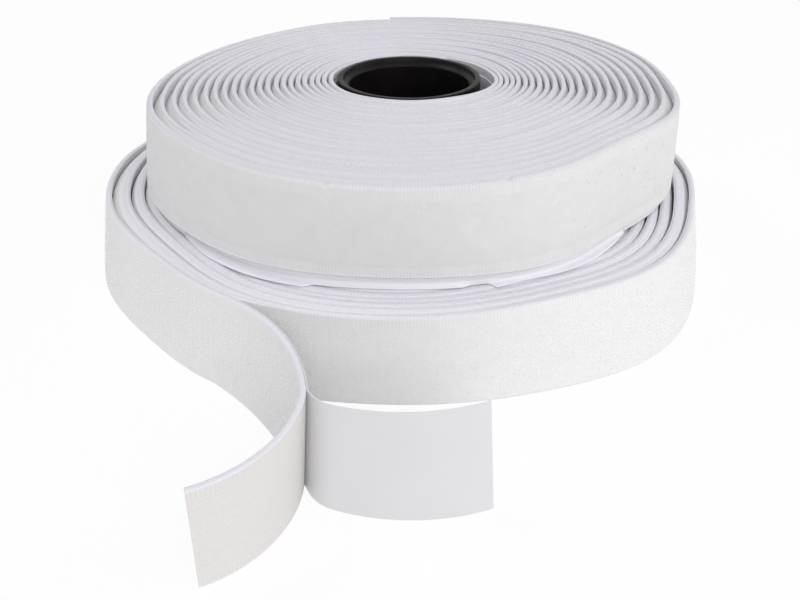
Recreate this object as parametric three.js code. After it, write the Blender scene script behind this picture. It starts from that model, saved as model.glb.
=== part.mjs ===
// A pair of self-adhesive hook and loop tape rolls, one lying on the other.
// The upper roll is the loop tape. The lower one is the hook tape, with its free end
// drawn off the roll and peeled from its release liner.
// Millimetres, +Z up. Both tapes wind anticlockwise outwards, seen from above.
// A tape's right-hand side, going outwards along it, is its hook or loop face.

import * as THREE from 'three';

// Driving dimensions
const tapeWidth = 20;
const tapeThickness = 0.9;
const linerThickness = 0.25;
const clearance = 0.3;

// Cores, alike in both rolls
const coreRadius = 17.7;
const coreBoreRadius = 14.9;
const coreLipWidth = 1.3;
const coreLipHeight = 1.1;
const coreBevel = 0.8;
const coreFit = 0.6;
const coreSegments = 60;

// Winding, common to both rolls
const stepsPerTurn = 20;
const linerTurns = 6;
const flareFullTurns = 1;
const flareFadeTurns = 1.5;
const frontAngle = degrees(268);
const frontWidth = degrees(25);

// Loop roll, set on the hook roll with its axis a little to one side
const loopRollRadius = 63;
const loopTurns = 22.25;
const loopStartAngle = degrees(5);
const loopOpeningShare = 0.26;
const loopFlareReach = 2.4;
const loopOffsetX = 2.4;
const loopOffsetY = -2.2;
const loopLinerOverhang = 2.2;
const loopOutlineShares = [
  1.024, 1.049, 1.057, 1.015, 0.995, 0.996, 0.963, 0.964,
  0.997, 1.026, 1.023, 1.045, 1.045, 1.017, 0.964, 1.025,
];

// Hook roll, loose in its outer turns, most of all at its sides
const hookRollRadius = 74;
const hookTurns = 20;
const hookLooseTurns = 6;
const hookTurnPitch = 2.25;
const hookPitchSwing = 0.45;
const hookSideSlack = 3;
const hookFlareReach = 3.2;
const hookEndAngle = degrees(242);
const hookOutlineShares = [
  1.04, 0.97, 0.965, 0.954, 0.942, 0.937, 0.942, 0.932,
  0.987, 0.998, 0.984, 1.027, 1.031, 1.029, 1.07, 1.042,
];

// Free end of the hook tape: the leg off the roll, then the peeled tape and the peeled liner
const tailGap = 0.4;
const tailLeaveTurn = degrees(-0.5);
const legLength = 35;
const legTurn = degrees(-52.5);
const legSteps = 8;
const legBow = 1.6;
const peelLean = 1.3;
const tapeEndLength = 25.7;
const tapeEndFold = degrees(-9);
const tapeEndTurn = degrees(-68);
const tapeEndLean = 1.1;
const tapeEndSteps = 7;
const linerFold = degrees(14);
const linerBendLength = 5.5;
const linerBendTurn = degrees(49);
const linerBendSteps = 4;
const linerRunLength = 25.4;
const linerRunTurn = degrees(40.5);
const linerRunSteps = 6;
const linerLean = 2.8;

// Finishes
const blackPlastic = new THREE.MeshStandardMaterial({ color: 0x1c1b1b, roughness: 0.42, metalness: 0 });
const loopPile = new THREE.MeshStandardMaterial({ color: 0xdedddc, roughness: 0.95, metalness: 0 });
const hookFabric = new THREE.MeshStandardMaterial({ color: 0xe0e0df, roughness: 0.8, metalness: 0 });
const linerPaper = new THREE.MeshStandardMaterial({ color: 0xe8e8eb, roughness: 0.3, metalness: 0 });

function degrees(angle) {
  return THREE.MathUtils.degToRad(angle);
}

// A share of a roll's radius at an angle, from values spread evenly round the circle
// and joined by a smooth closed curve.
function shareAround(shares, angle) {
  const count = shares.length;
  const place = THREE.MathUtils.euclideanModulo(angle / (2 * Math.PI), 1) * count;
  const first = Math.floor(place);
  const t = place - first;
  const [a, b, c, d] = [-1, 0, 1, 2].map((n) => shares[(first + n + count) % count]);
  const slopeB = (c - a) / 2;
  const slopeC = (d - b) / 2;
  const bend = 3 * (c - b) - 2 * slopeB - slopeC;
  const twist = 2 * (b - c) + slopeB + slopeC;
  return b + t * (slopeB + t * (bend + t * twist));
}

// How far the lower edge stands outside the upper one: all round a roll's outer turns,
// but not at its front, and less with each turn inwards.
function flareAt(reach, angle, turnsIn) {
  const fromFront = Math.atan2(Math.sin(angle - frontAngle), Math.cos(angle - frontAngle));
  const round = 1 - Math.exp(-((fromFront / frontWidth) ** 2));
  const left = flareFullTurns + flareFadeTurns - turnsIn;
  return reach * round * THREE.MathUtils.clamp(left / flareFadeTurns, 0, 1);
}

// Radius of the tape's outer face on the first turn, round the core
const seatRadius = coreRadius + coreFit + tapeThickness;

// Outer face of the loop tape, after a number of turns from the core. The turns open
// slightly outwards, and the roll's outline grows less round with them.
function loopRadius(turns, angle) {
  const grown = turns / loopTurns;
  const spread = grown * (1 - loopOpeningShare + loopOpeningShare * grown);
  const outline = 1 + (shareAround(loopOutlineShares, angle) - 1) * grown ** 2;
  return (seatRadius + (loopRollRadius - seatRadius) * spread) * outline;
}

// How far the hook tape's outer face lies inside the roll's outline: a pitch for each turn,
// which is least at the front and back, and at the sides the slack of the outermost turns.
function hookDepth(turnsIn, angle) {
  const pitch = hookTurnPitch + hookPitchSwing * Math.cos(2 * angle);
  const slack = hookSideSlack * Math.cos(angle) ** 2;
  return pitch * turnsIn + slack * (1 - Math.exp(-turnsIn));
}

// Outer face of the hook tape. The loose outer turns follow the outline, and the rest
// spread evenly from the core to them.
function hookRadius(turns, angle) {
  const turnsIn = hookTurns - turns;
  const outline = hookRollRadius * shareAround(hookOutlineShares, angle);
  if (turnsIn <= hookLooseTurns) return outline - hookDepth(turnsIn, angle);
  const packRadius = outline - hookDepth(hookLooseTurns, angle);
  return seatRadius + ((packRadius - seatRadius) * turns) / (hookTurns - hookLooseTurns);
}

// One cross-section of a tape: the lower and upper corners of its left and right side.
function section(leftLow, rightLow, leftHigh, rightHigh, low, high) {
  return [
    new THREE.Vector3(leftLow.x, leftLow.y, low),
    new THREE.Vector3(rightLow.x, rightLow.y, low),
    new THREE.Vector3(rightHigh.x, rightHigh.y, high),
    new THREE.Vector3(leftHigh.x, leftHigh.y, high),
  ];
}

function polar(radius, angle) {
  return new THREE.Vector2(Math.cos(angle), Math.sin(angle)).multiplyScalar(radius);
}

// Cross-sections of a wound strip between two numbers of turns. Its outer face lies
// a depth inside the tape's outer face.
function windingSections(winding) {
  const { radius, flareReach, turns, startAngle, fromTurn, depth, thickness, low, high } = winding;
  const sections = [];
  const steps = Math.round((turns - fromTurn) * stepsPerTurn);
  for (let step = 0; step <= steps; step += 1) {
    const wound = fromTurn + step / stepsPerTurn;
    const angle = startAngle + 2 * Math.PI * wound;
    const outer = radius(wound, angle) - depth;
    const flare = flareAt(flareReach, angle, turns - wound);
    const corners = [outer - thickness + flare, outer + flare, outer - thickness, outer];
    sections.push(section(...corners.map((r) => polar(r, angle)), low, high));
  }
  return sections;
}

// A closed solid through a row of cross-sections, flat at both ends. Its left and right
// faces are split into triangles the same way, so that neighbouring turns nest.
function stripGeometry(sections) {
  const positions = [];
  const quad = (...corners) => {
    for (const n of [0, 1, 2, 0, 2, 3]) positions.push(...corners[n].toArray());
  };
  quad(...sections[0]);
  quad(...sections.at(-1).toReversed());
  for (let n = 1; n < sections.length; n += 1) {
    const [leftLow, rightLow, rightHigh, leftHigh] = sections[n - 1];
    const [nextLeftLow, nextRightLow, nextRightHigh, nextLeftHigh] = sections[n];
    quad(rightLow, leftLow, nextLeftLow, nextRightLow);
    quad(rightHigh, rightLow, nextRightLow, nextRightHigh);
    quad(leftHigh, rightHigh, nextRightHigh, nextLeftHigh);
    quad(leftHigh, nextLeftHigh, nextLeftLow, leftLow);
  }
  const geometry = new THREE.BufferGeometry();
  geometry.setAttribute('position', new THREE.Float32BufferAttribute(positions, 3));
  geometry.computeVertexNormals();
  return geometry;
}

// Least gap between a turn's outer corners and the inner face of the turn round it.
function leastGap(sections) {
  let least = Infinity;
  const nearest = new THREE.Vector3();
  const pairs = [[1, 0], [2, 3]];
  for (let n = 0; n + stepsPerTurn + 1 < sections.length; n += 1) {
    for (const [outer, inner] of pairs) {
      for (const shift of [-1, 0]) {
        const from = sections[n + stepsPerTurn + shift][inner];
        const to = sections[n + stepsPerTurn + shift + 1][inner];
        new THREE.Line3(from, to).closestPointToPoint(sections[n][outer], true, nearest);
        least = Math.min(least, nearest.distanceTo(sections[n][outer]));
      }
    }
  }
  return least;
}

function mesh(name, geometry, material) {
  const piece = new THREE.Mesh(geometry, material);
  piece.name = name;
  return piece;
}

function wound(name, material, winding) {
  const sections = windingSections(winding);
  console.log(`${name}: least gap to itself ${leastGap(sections).toFixed(2)} mm`);
  return mesh(name, stripGeometry(sections), material);
}

// A moulded tube with a raised lip round each end and a bevelled bore.
function core(name) {
  const lipRadius = coreRadius - coreLipWidth;
  const half = [
    [coreRadius, tapeWidth],
    [lipRadius, tapeWidth],
    [lipRadius, tapeWidth - coreLipHeight],
    [coreBoreRadius + coreBevel, tapeWidth - coreLipHeight],
    [coreBoreRadius, tapeWidth - coreLipHeight - coreBevel],
  ];
  const mirrored = half.map(([radius, height]) => [radius, tapeWidth - height]).reverse();
  const outline = [...half, ...mirrored, half[0]];
  const points = outline.map(([radius, height]) => new THREE.Vector2(radius, height));
  const geometry = new THREE.LatheGeometry(points, coreSegments);
  geometry.rotateX(Math.PI / 2);
  return mesh(name, geometry, blackPlastic);
}

// Points along a path of even bends, each with the heading there.
function trace(start, heading, bends) {
  const path = [{ point: start.clone(), heading }];
  for (const { length, turn, steps } of bends) {
    for (let step = 0; step < steps; step += 1) {
      const last = path[path.length - 1];
      const next = last.heading + turn / steps;
      const chord = polar(length / steps, (last.heading + next) / 2);
      path.push({ point: last.point.clone().add(chord), heading: next });
    }
  }
  return path;
}

function leftOf(heading) {
  return polar(1, heading + Math.PI / 2);
}

// Cross-sections of a strip that stands on edge along a path. The path is its right face,
// seen along the tape, and the lower edge stands out to the right by the lean.
function standingSections(path, thickness, lean) {
  return path.map(({ point, heading }, n) => {
    const left = leftOf(heading);
    const foot = point.clone().addScaledVector(left, -lean(n / (path.length - 1)));
    const across = left.clone().multiplyScalar(thickness);
    return section(foot.clone().add(across), foot, point.clone().add(across), point, 0, tapeWidth);
  });
}

// The same path, a distance to the left, as the liner lies behind the tape.
function shifted(path, distance) {
  return path.map(({ point, heading }) => {
    const moved = point.clone().addScaledVector(leftOf(heading), distance);
    return { point: moved, heading };
  });
}

function moveOn(point, heading) {
  return point.clone().add(polar(tailGap, heading));
}

const linerDepth = tapeThickness + clearance;
const part = new THREE.Group();

// Hook roll
const hookStartAngle = hookEndAngle - 2 * Math.PI * hookTurns;
const hookWinding = {
  radius: hookRadius,
  flareReach: hookFlareReach,
  turns: hookTurns,
  startAngle: hookStartAngle,
  fromTurn: 0,
  depth: 0,
  thickness: tapeThickness,
  low: 0,
  high: tapeWidth,
};
const hookLinerWinding = {
  ...hookWinding,
  fromTurn: hookTurns - linerTurns,
  depth: linerDepth,
  thickness: linerThickness,
};
part.add(core('hook_core'));
part.add(wound('hook_tape', hookFabric, hookWinding));
part.add(wound('hook_liner', linerPaper, hookLinerWinding));

// Leg of tape and liner off the hook roll
const leaveHeading = hookEndAngle + Math.PI / 2 + tailLeaveTurn;
const leavePoint = polar(hookRadius(hookTurns, hookEndAngle), hookEndAngle);
const legBend = { length: legLength, turn: legTurn, steps: legSteps };
const legPath = trace(moveOn(leavePoint, leaveHeading), leaveHeading, [legBend]);
const leaveLean = flareAt(hookFlareReach, hookEndAngle, 0);
const legLean = (t) => THREE.MathUtils.lerp(leaveLean, peelLean, t) + legBow * Math.sin(Math.PI * t);
const legTape = standingSections(legPath, tapeThickness, legLean);
const legLiner = standingSections(shifted(legPath, linerDepth), linerThickness, legLean);
part.add(mesh('hook_tape_tail', stripGeometry(legTape), hookFabric));
part.add(mesh('hook_liner_tail', stripGeometry(legLiner), linerPaper));

// Tape end, folded back to the right past the line where the liner peels off
const peel = legPath[legPath.length - 1];
const endBend = { length: tapeEndLength, turn: tapeEndTurn, steps: tapeEndSteps };
const endHeading = peel.heading + tapeEndFold;
const endPath = trace(moveOn(peel.point, peel.heading), endHeading, [endBend]);
const endLean = (t) => THREE.MathUtils.lerp(peelLean, tapeEndLean, t);
const endTape = standingSections(endPath, tapeThickness, endLean);
part.add(mesh('hook_tape_end', stripGeometry(endTape), hookFabric));

// Liner end, curling away to the left
const linerPeel = shifted([peel], linerDepth)[0];
const linerBends = [
  { length: linerBendLength, turn: linerBendTurn, steps: linerBendSteps },
  { length: linerRunLength, turn: linerRunTurn, steps: linerRunSteps },
];
const linerHeading = linerPeel.heading + linerFold;
const linerPath = trace(moveOn(linerPeel.point, linerPeel.heading), linerHeading, linerBends);
const linerEndLean = (t) => THREE.MathUtils.lerp(peelLean, linerLean, t);
const endLiner = standingSections(linerPath, linerThickness, linerEndLean);
part.add(mesh('hook_liner_end', stripGeometry(endLiner), linerPaper));

// Loop roll. Its liner hangs lower than the tape and stands on the hook roll.
const loopTape = {
  radius: loopRadius,
  flareReach: loopFlareReach,
  turns: loopTurns,
  startAngle: loopStartAngle,
  fromTurn: 0,
  depth: 0,
  thickness: tapeThickness,
  low: 0,
  high: tapeWidth,
};
const loopLiner = {
  ...loopTape,
  fromTurn: loopTurns - linerTurns,
  depth: linerDepth,
  thickness: linerThickness,
  low: -loopLinerOverhang,
  high: tapeWidth - loopLinerOverhang,
};
const loopRoll = new THREE.Group();
loopRoll.add(core('loop_core'));
loopRoll.add(wound('loop_tape', loopPile, loopTape));
loopRoll.add(wound('loop_liner', linerPaper, loopLiner));
loopRoll.position.set(loopOffsetX, loopOffsetY, tapeWidth + clearance + loopLinerOverhang);
part.add(loopRoll);

// The origin is under the middle of the whole part, on the surface that it lies on.
part.updateMatrixWorld(true);
const middle = new THREE.Box3().setFromObject(part).getCenter(new THREE.Vector3());
part.position.set(-middle.x, -middle.y, 0);

export default part;
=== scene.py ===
# %% [markdown]
# # A pair of hook and loop tape rolls
# Two rolls of white self-adhesive tape lie on each other. The upper one is loop tape, with
# a soft pile. The lower one is hook tape, with its free end drawn off the roll and peeled
# from its release liner. The measured solids come first, since every surface here has to
# lie where they are.

# %% Load the measured parts
from collections import namedtuple

import bpy
import numpy as np
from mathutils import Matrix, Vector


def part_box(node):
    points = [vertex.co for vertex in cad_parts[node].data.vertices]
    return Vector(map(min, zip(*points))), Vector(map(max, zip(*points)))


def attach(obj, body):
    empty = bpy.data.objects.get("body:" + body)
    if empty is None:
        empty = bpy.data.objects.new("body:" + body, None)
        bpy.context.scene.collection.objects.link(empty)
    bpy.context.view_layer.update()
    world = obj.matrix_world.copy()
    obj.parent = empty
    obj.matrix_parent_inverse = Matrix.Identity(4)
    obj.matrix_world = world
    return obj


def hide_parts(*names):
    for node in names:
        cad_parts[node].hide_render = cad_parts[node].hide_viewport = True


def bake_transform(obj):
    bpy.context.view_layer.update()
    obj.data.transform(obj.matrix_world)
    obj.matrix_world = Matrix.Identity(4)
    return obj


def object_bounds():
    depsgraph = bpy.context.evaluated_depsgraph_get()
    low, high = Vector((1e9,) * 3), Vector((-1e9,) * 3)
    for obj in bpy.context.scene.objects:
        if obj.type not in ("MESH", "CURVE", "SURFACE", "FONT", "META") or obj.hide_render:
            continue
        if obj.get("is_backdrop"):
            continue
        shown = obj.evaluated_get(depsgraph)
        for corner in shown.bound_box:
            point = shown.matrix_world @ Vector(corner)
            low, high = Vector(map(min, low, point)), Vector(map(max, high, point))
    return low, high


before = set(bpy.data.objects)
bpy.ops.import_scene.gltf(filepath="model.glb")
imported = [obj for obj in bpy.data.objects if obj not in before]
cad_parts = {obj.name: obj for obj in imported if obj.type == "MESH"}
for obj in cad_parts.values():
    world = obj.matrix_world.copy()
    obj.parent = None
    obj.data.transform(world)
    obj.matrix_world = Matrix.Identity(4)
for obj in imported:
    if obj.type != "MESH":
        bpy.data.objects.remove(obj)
cad_low, cad_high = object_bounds()
scene = bpy.context.scene
MM = 0.001
TURN = 2 * np.pi


def placed(name, data):
    """A new object in the scene, made from its data."""
    made = bpy.data.objects.new(name, data)
    scene.collection.objects.link(made)
    return made


def middle_of(node):
    """The centre of a solid's box, in millimetres."""
    low, high = (np.array(corner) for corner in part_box(node))
    return (low + high) / 2 / MM


hook_axis = middle_of("hook_core")[:2]
loop_axis = middle_of("loop_core")[:2]
print("hook roll axis", hook_axis.round(2), "loop roll axis", loop_axis.round(2))

# %% [markdown]
# ## The camera
# The photo looks down on the rolls at 26 degrees from close by. The frame is shifted
# upwards a little instead of the camera being tilted further, so the upright edges stay
# nearly parallel. The camera is placed from the axis of the upper roll.

# %% Place the camera
CAMERA_BEHIND_AXIS = 194.7
CAMERA_LEFT_OF_AXIS = 2.27
CAMERA_HEIGHT = 103.2
CAMERA_PITCH = np.radians(26)
FOCAL_PIXELS = 812
HORIZON_SHIFT_PIXELS = 100
IMAGE_WIDTH_PIXELS = 800
SENSOR = 36

camera_data = bpy.data.cameras.new("camera")
camera_data.sensor_width = SENSOR
camera_data.lens = FOCAL_PIXELS / IMAGE_WIDTH_PIXELS * SENSOR
camera_data.shift_y = -HORIZON_SHIFT_PIXELS / IMAGE_WIDTH_PIXELS
camera_data.clip_start = MM
camera = placed("camera", camera_data)
camera.location = (
    (loop_axis[0] - CAMERA_LEFT_OF_AXIS) * MM,
    (loop_axis[1] - CAMERA_BEHIND_AXIS) * MM,
    CAMERA_HEIGHT * MM,
)
camera.rotation_euler = (np.pi / 2 - CAMERA_PITCH, 0, 0)
scene.camera = camera
print("camera at", np.round(camera.location, 4), "with a lens of", round(camera_data.lens, 1), "mm")

# %% [markdown]
# ## How the tapes are wound
# A roll of tape is a spiral whose turns follow the roll's outline. Both rolls have been
# handled, so neither outline is a true circle. The outline is a closed curve through
# shares of the roll's radius, and the spiral's radius at any number of turns is worked
# out from it, with the same sizes as the measured solids have.

# %% Sizes of the tape and of the two windings
TAPE_WIDTH = 20
TAPE_THICKNESS = 0.9
LINER_THICKNESS = 0.25
CLEARANCE = 0.3
LINER_DEPTH = TAPE_THICKNESS + CLEARANCE
CORE_RADIUS = 17.7
CORE_FIT = 0.6
SEAT_RADIUS = CORE_RADIUS + CORE_FIT + TAPE_THICKNESS

FLARE_FULL_TURNS = 1
FLARE_FADE_TURNS = 1.5
FRONT_ANGLE = np.radians(268)
FRONT_WIDTH = np.radians(25)
RIGHT_ANGLE = np.radians(355)
RIGHT_WIDTH = np.radians(32)

LOOP_ROLL_RADIUS = 63
LOOP_TURNS = 22.25
LOOP_START_ANGLE = np.radians(5)
LOOP_OPENING_SHARE = 0.26
LOOP_FLARE_REACH = 2.4
LOOP_LINER_OVERHANG = 2.2
LOOP_BASE = TAPE_WIDTH + CLEARANCE + LOOP_LINER_OVERHANG
LOOP_OUTLINE_SHARES = [
    1.024, 1.049, 1.057, 1.015, 0.995, 0.996, 0.963, 0.964,
    0.997, 1.026, 1.023, 1.045, 1.045, 1.017, 0.964, 1.025,
]

HOOK_ROLL_RADIUS = 74
HOOK_TURNS = 20
HOOK_LOOSE_TURNS = 6
HOOK_TURN_PITCH = 2.25
HOOK_PITCH_SWING = 0.45
HOOK_SIDE_SLACK = 3
HOOK_FLARE_REACH = 3.2
HOOK_END_ANGLE = np.radians(242)
HOOK_OUTLINE_SHARES = [
    1.04, 0.97, 0.965, 0.954, 0.942, 0.937, 0.942, 0.932,
    0.987, 0.998, 0.984, 1.027, 1.031, 1.029, 1.07, 1.042,
]


# %% Shape of a winding
def outline_share(shares, angle):
    """A smooth closed curve through values spread evenly round a circle. Between two values
    it is the cubic whose slope at each is half the step between its two neighbours."""
    place = np.mod(angle / TURN, 1) * len(shares)
    first = np.floor(place).astype(int)
    t = place - first
    a, b, c, d = (np.take(shares, first + n, mode="wrap") for n in (-1, 0, 1, 2))
    slope_b, slope_c = (c - a) / 2, (d - b) / 2
    bend = 3 * (c - b) - 2 * slope_b - slope_c
    twist = 2 * (b - c) + slope_b + slope_c
    return b + t * (slope_b + t * (bend + t * twist))


def bell(angle, middle, width):
    """One at an angle and falling off on both sides of it, as e to minus the square of the
    distance round the circle over the width."""
    away = np.arctan2(np.sin(angle - middle), np.cos(angle - middle))
    return np.exp(-((away / width) ** 2))


def flare(reach, angle, turns_in, tuck=0, right_share=1):
    """How far the lower edge stands outside the upper one. It is full round the outer turn,
    except in a bell at the front, where the edge may be tucked in instead, and in one at
    the right, where it may be less. It fades to nothing over the next turns."""
    front = bell(angle, FRONT_ANGLE, FRONT_WIDTH)
    right = bell(angle, RIGHT_ANGLE, RIGHT_WIDTH)
    left = FLARE_FULL_TURNS + FLARE_FADE_TURNS - turns_in
    lean = reach * (1 - front) * (1 - right * (1 - right_share)) - tuck * front
    return lean * np.clip(left / FLARE_FADE_TURNS, 0, 1)


def loop_radius(turns, angle):
    """Radius of the loop tape's outer face. It grows from the core to the roll's radius, a
    little faster outwards, and takes on the outline with the square of the growth."""
    grown = turns / LOOP_TURNS
    spread = grown * (1 - LOOP_OPENING_SHARE + LOOP_OPENING_SHARE * grown)
    outline = 1 + (outline_share(LOOP_OUTLINE_SHARES, angle) - 1) * grown**2
    return (SEAT_RADIUS + (LOOP_ROLL_RADIUS - SEAT_RADIUS) * spread) * outline


def hook_depth(turns_in, angle):
    """How far the hook tape lies inside the outline: a pitch for each turn, least at the
    front and back, and at the sides the slack of the outermost turns."""
    pitch = HOOK_TURN_PITCH + HOOK_PITCH_SWING * np.cos(2 * angle)
    return pitch * turns_in + HOOK_SIDE_SLACK * np.cos(angle) ** 2 * (1 - np.exp(-turns_in))


def hook_radius(turns, angle):
    """Radius of the hook tape's outer face. The loose outer turns follow the outline at
    their depths, and the rest spread evenly from the core to them."""
    turns_in = HOOK_TURNS - turns
    outline = HOOK_ROLL_RADIUS * outline_share(HOOK_OUTLINE_SHARES, angle)
    pack_radius = outline - hook_depth(HOOK_LOOSE_TURNS, angle)
    packed = SEAT_RADIUS + (pack_radius - SEAT_RADIUS) * turns / (HOOK_TURNS - HOOK_LOOSE_TURNS)
    return np.where(turns_in <= HOOK_LOOSE_TURNS, outline - hook_depth(turns_in, angle), packed)


def wander(place, length, size, seed):
    """A smooth random line: five sine waves whose lengths run from the given one down to a
    fifth of it, each with a random start and a size that shrinks with its length."""
    starts = np.random.default_rng(seed).uniform(0, TURN, 5)
    waves = [np.sin(TURN * n * place / length + starts[n - 1]) / n for n in range(1, 6)]
    return size * np.sum(waves, axis=0) / 1.5


# %% [markdown]
# ## Strips
# Tape and liner are strips that stand on edge. A strip is described by a route, one entry
# for each cross-section: where its outer face is at the top, which way is left of it, how
# far its foot leans out and how far along the tape it is. Its face can bulge in two ways:
# right from the edges, where turns are pressed together, or only deeper down. The
# cross-section is a closed outline with rounded corners. Carrying the outline along the
# route as one grid of points gives the whole strip at once, and each point keeps its
# length along the tape, its height and its depth, so that weave and pile can follow the
# strip however it bends.

# %% Routes
Route = namedtuple("Route", "edge left lean along rise turns bulge deep")
EASE_LENGTH = 3
END_RING = 0.02


def with_length(edge, left, lean, rise, turns, bulge, deep):
    """A route with the length along it added up from the steps between its points."""
    steps = np.linalg.norm(np.diff(edge, axis=0), axis=1)
    along = np.concatenate([[0], np.cumsum(steps)])
    return Route(edge, left, lean, along, rise, turns, bulge, deep)


def wound_route(axis, radius, start_angle, turns, lean, loose, rise, bulges):
    """A spiral about an axis, at the given numbers of turns. Its outer face is at the
    winding's radius plus a small amount by which the turn is loose."""
    angle = start_angle + TURN * turns
    outward = np.stack([np.cos(angle), np.sin(angle)], axis=1)
    edge = axis + outward * (radius(turns, angle) + loose)[:, None]
    return with_length(edge, -outward, lean, rise, turns, *bulges)


def bent_path(start, heading, bends, off=0):
    """Points and headings along a path of even bends, each given as its length, its turn
    and its number of steps. Every step is a chord at the mean of its two headings. Where
    the path sets off at another heading, the difference dies away exponentially."""
    lengths = np.concatenate([np.full(steps, length / steps) for length, _, steps in bends])
    turns = np.concatenate([np.full(steps, turn / steps) for _, turn, steps in bends])
    headings = heading + np.concatenate([[0], np.cumsum(turns)])
    along = np.concatenate([[0], np.cumsum(lengths)])
    eased = headings + off * np.exp(-along / EASE_LENGTH)
    mean = (eased[1:] + eased[:-1]) / 2
    chords = np.stack([np.cos(mean), np.sin(mean)], axis=1) * lengths[:, None]
    return start + np.concatenate([[[0, 0]], np.cumsum(chords, axis=0)]), headings


def left_of(headings):
    """Directions to the left of each heading."""
    return np.stack([-np.sin(headings), np.cos(headings)], axis=1)


def path_route(points, headings, lean, bulge=0.0):
    """A route along a path, with its left side at a right angle to each heading."""
    still = np.zeros(len(points))
    return with_length(points, left_of(headings), lean, still, still, still + bulge, still)


def part_of(route, first, last):
    """The stretch of a route between two of its entries."""
    return Route(*(values[first:last] for values in route))


def at_lengths(route, along):
    """Entries of a route at the given lengths along it, each on the straight line between
    the two entries beside it."""

    def picked(values):
        """One field of those entries."""
        columns = [np.interp(along, route.along, column) for column in np.atleast_2d(values.T)]
        return np.squeeze(np.stack(columns, axis=-1))

    return Route(*(picked(values) for values in route))


def with_end_rings(route):
    """The same route with one more entry very close to each of its ends. It keeps the
    shading of an end cap off the sides of the strip."""
    near = [values[:1] * (1 - END_RING) + values[1:2] * END_RING for values in route]
    far = [values[-1:] * (1 - END_RING) + values[-2:-1] * END_RING for values in route]
    parts = zip(route, near, far)
    return Route(*(np.concatenate([v[:1], a, v[1:-1], b, v[-1:]]) for v, a, b in parts))


# %% Cross-sections
SHOULDER_MARGIN = 0.05
FACE_STEPS = 5


def bulging_face(corner, shoulder, deep_from, deep_to):
    """The lower half of a face: how far outwards and how high each point lies, and its
    shares of the two bulges. The bulge at the edge rises along a quarter of an ellipse as
    deep as the shoulder, and the deep one between two depths, along half a wave of a
    cosine."""
    start = corner + SHOULDER_MARGIN
    quarter = np.linspace(0, np.pi / 2, FACE_STEPS)
    depth = [start + shoulder * (1 - np.cos(quarter)), np.linspace(deep_from, deep_to, FACE_STEPS)]
    depth = np.sort(np.concatenate(depth))
    risen = np.clip((depth - start) / shoulder, 0, 1)
    sunk = np.clip((depth - deep_from) / (deep_to - deep_from), 0, 1)
    deep_share = (1 - np.cos(np.pi * sunk)) / 2
    return np.column_stack([0 * depth, depth, np.sqrt(risen * (2 - risen)), deep_share])


def strip_outline(thickness, corner, face):
    """The outline of a strip's cross-section, anticlockwise seen along the strip. Each
    corner is a quarter circle of three points. The face's points are given for its lower
    half, and the upper half mirrors them."""

    def rounded_corner(outward, height, degrees):
        """The quarter circle about a centre that begins in the given direction."""
        turn = np.radians([degrees, degrees + 45, degrees + 90])
        arc = outward + corner * np.cos(turn), height + corner * np.sin(turn)
        return np.column_stack([*arc, np.zeros((3, 2))])

    low, high = corner, TAPE_WIDTH - corner
    upper_face = np.array(face)[::-1] * [1, -1, 1, 1] + [0, TAPE_WIDTH, 0, 0]
    back = [(-thickness, high - corner, 0, 0), (-thickness, low + corner, 0, 0)]
    corners = [
        rounded_corner(corner - thickness, low, 180),
        rounded_corner(-corner, low, 270),
        rounded_corner(-corner, high, 0),
        rounded_corner(corner - thickness, high, 90),
    ]
    return np.concatenate([*corners[:2], face, upper_face, *corners[2:], back])


# %% Strips and their meshes
def strip_grid(route, outline, base, relief=0):
    """The points of a strip: its edge moved out by the outline's first value, by its shares
    of the bulges, by the lean, which is full at the foot and nothing at the top, and by a
    relief, and up by the outline's second value."""
    outward, height, edge_share, deep_share = outline.T
    up_share = np.clip(height / TAPE_WIDTH, 0, 1)
    out = outward + route.bulge[:, None] * edge_share + route.deep[:, None] * deep_share
    out = out + route.lean[:, None] * (1 - up_share) + relief
    plan = route.edge[:, None] - route.left[:, None] * out[..., None]
    up = base + height + route.rise[:, None] * up_share
    return np.concatenate([plan, up[..., None]], axis=2)


def new_piece(name, points, faces, strip_place, material):
    """A mesh object from points in millimetres and rows of face corners. Each point also
    stores its place on the strip: along it, up it and out of it, in metres."""
    mesh = bpy.data.meshes.new(name)
    mesh.from_pydata(np.asarray(points, float) * MM, [], faces)
    mesh.attributes.new("strip_place", "FLOAT_VECTOR", "POINT").data.foreach_set(
        "vector", (np.asarray(strip_place, float) * MM).astype(np.float32).ravel()
    )
    mesh.polygons.foreach_set("use_smooth", np.full(len(mesh.polygons), True))
    mesh.materials.append(material)
    mesh.update()
    return placed(name, mesh)


def quads(here, there):
    """Faces between each ring of points and the next one, from the numbers of their points."""
    return np.stack([here, np.roll(here, -1, axis=1), np.roll(there, -1, axis=1), there], axis=-1)


def strip(name, route, outline, base, material, relief=0):
    """A closed strip: a grid of faces round the outline and along the route, with a flat
    cap at each end. Its outline runs the other way round than that of a tube, so the
    corners of each face are taken in the opposite order."""
    grid = strip_grid(route, outline, base, relief)
    rows, around = grid.shape[:2]
    index = np.arange(rows * around).reshape(rows, around)
    sides = quads(index[:-1], index[1:])[..., [1, 0, 3, 2]].reshape(-1, 4)
    faces = sides.tolist() + [index[0].tolist(), index[-1, ::-1].tolist()]
    place = np.empty(grid.shape)
    place[..., 0] = route.along[:, None]
    place[..., 1] = outline[None, :, 1]
    place[..., 2] = outline[None, :, 0]
    length = round(route.along[-1] - route.along[0])
    print(name, "is", length, "mm long and has", 2 * len(sides), "triangles")
    return new_piece(name, grid.reshape(-1, 3), faces, place.reshape(-1, 3), material)


def belongs(piece, body, node=None):
    """Says which body a piece rides on and which solid it replaces."""
    if node:
        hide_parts(node)
    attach(piece, body)


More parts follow.
